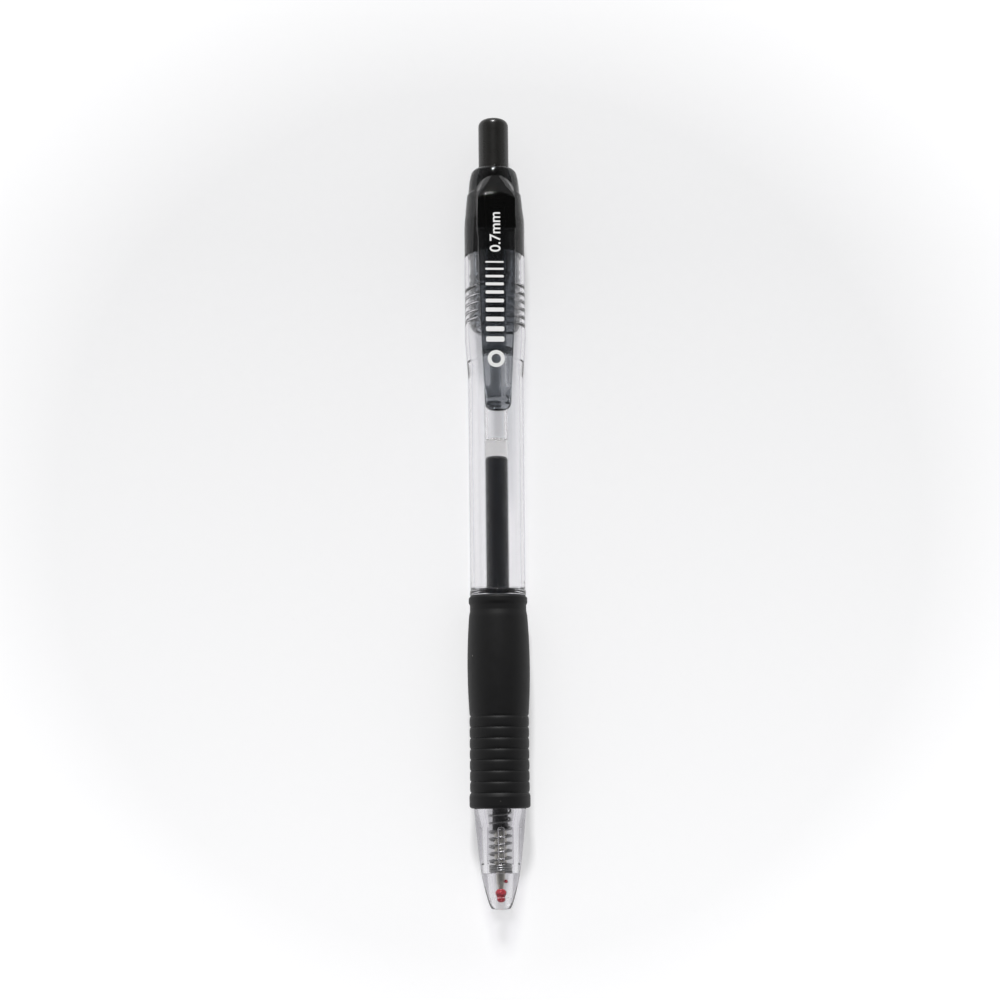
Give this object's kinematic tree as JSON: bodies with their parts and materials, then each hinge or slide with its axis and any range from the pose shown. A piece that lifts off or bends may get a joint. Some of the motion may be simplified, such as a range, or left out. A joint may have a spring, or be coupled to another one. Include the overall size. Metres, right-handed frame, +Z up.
{
  "type": "retractable ballpoint pen",
  "caption": "Click pen with a clear barrel, ribbed rubber grip, smoked collar with spring clip, push button, cam rotor and sprung refill.",
  "frame": {"origin": "centre of the pen's footprint at the height of the surface it lies on, clip uppermost", "axes": "+Y along the pen from the nose to the push button, +Z up through the clip, +X across the pen"},
  "size_m": [0.0112, 0.1446, 0.0136],
  "materials": {
    "clear_plastic": "polished clear styrene",
    "grip_rubber": "matt moulded rubber",
    "smoked_plastic": "polished smoked translucent plastic",
    "black_plastic": "satin black plastic",
    "rotor_plastic": "moulded acetal",
    "refill_plastic": "natural translucent extrusion",
    "black_ink": "wet black ink",
    "follower_grease": "clear grease",
    "holder_plastic": "moulded plastic",
    "tip_metal": "turned nickel silver",
    "ball_metal": "polished hard metal",
    "red_wax": "soft translucent wax",
    "spring_steel": "drawn spring wire"
  },
  "bodies": {
    "casing": {"barrel": "clear_plastic", "grip_sleeve": "grip_rubber", "clip_collar": "smoked_plastic"},
    "clip_bar": {"clip": "smoked_plastic"},
    "button": {"push_button": "black_plastic"},
    "refill": {"cam_rotor": "rotor_plastic", "refill_tube": "refill_plastic", "ink_column": "black_ink", "ink_follower": "follower_grease", "ball_holder": "holder_plastic", "writing_tip": "tip_metal", "wax_seal": "red_wax", "return_spring": "spring_steel"},
    "ball": {"tip_ball": "ball_metal"}
  },
  "joints": [
    {"name": "button_press", "type": "slide", "parent": "casing", "child": "button", "axis": [0, -1, 0], "range_m": [0, 0.0065], "stiffness_N_per_m": 400, "springref_m": -0.004},
    {"name": "refill_extend", "type": "slide", "parent": "casing", "child": "refill", "axis": [0, -1, 0], "range_m": [0, 0.0065], "deforming": ["return_spring"]},
    {"name": "clip_flex", "type": "hinge", "parent": "casing", "child": "clip_bar", "pos_m": [0, 0.04865, 0.01273], "axis": [-1, 0, 0], "range_deg": [0, 4.5], "stiffness_Nm_per_rad": 1.2},
    {"name": "ball_roll", "type": "hinge", "parent": "refill", "child": "ball", "pos_m": [0, -0.0688, 0.00558], "axis": [1, 0, 0], "continuous": true}
  ],
  "couplings": [
    {"joint": "refill_extend", "follows": "button_press", "ratio": 1}
  ]
}
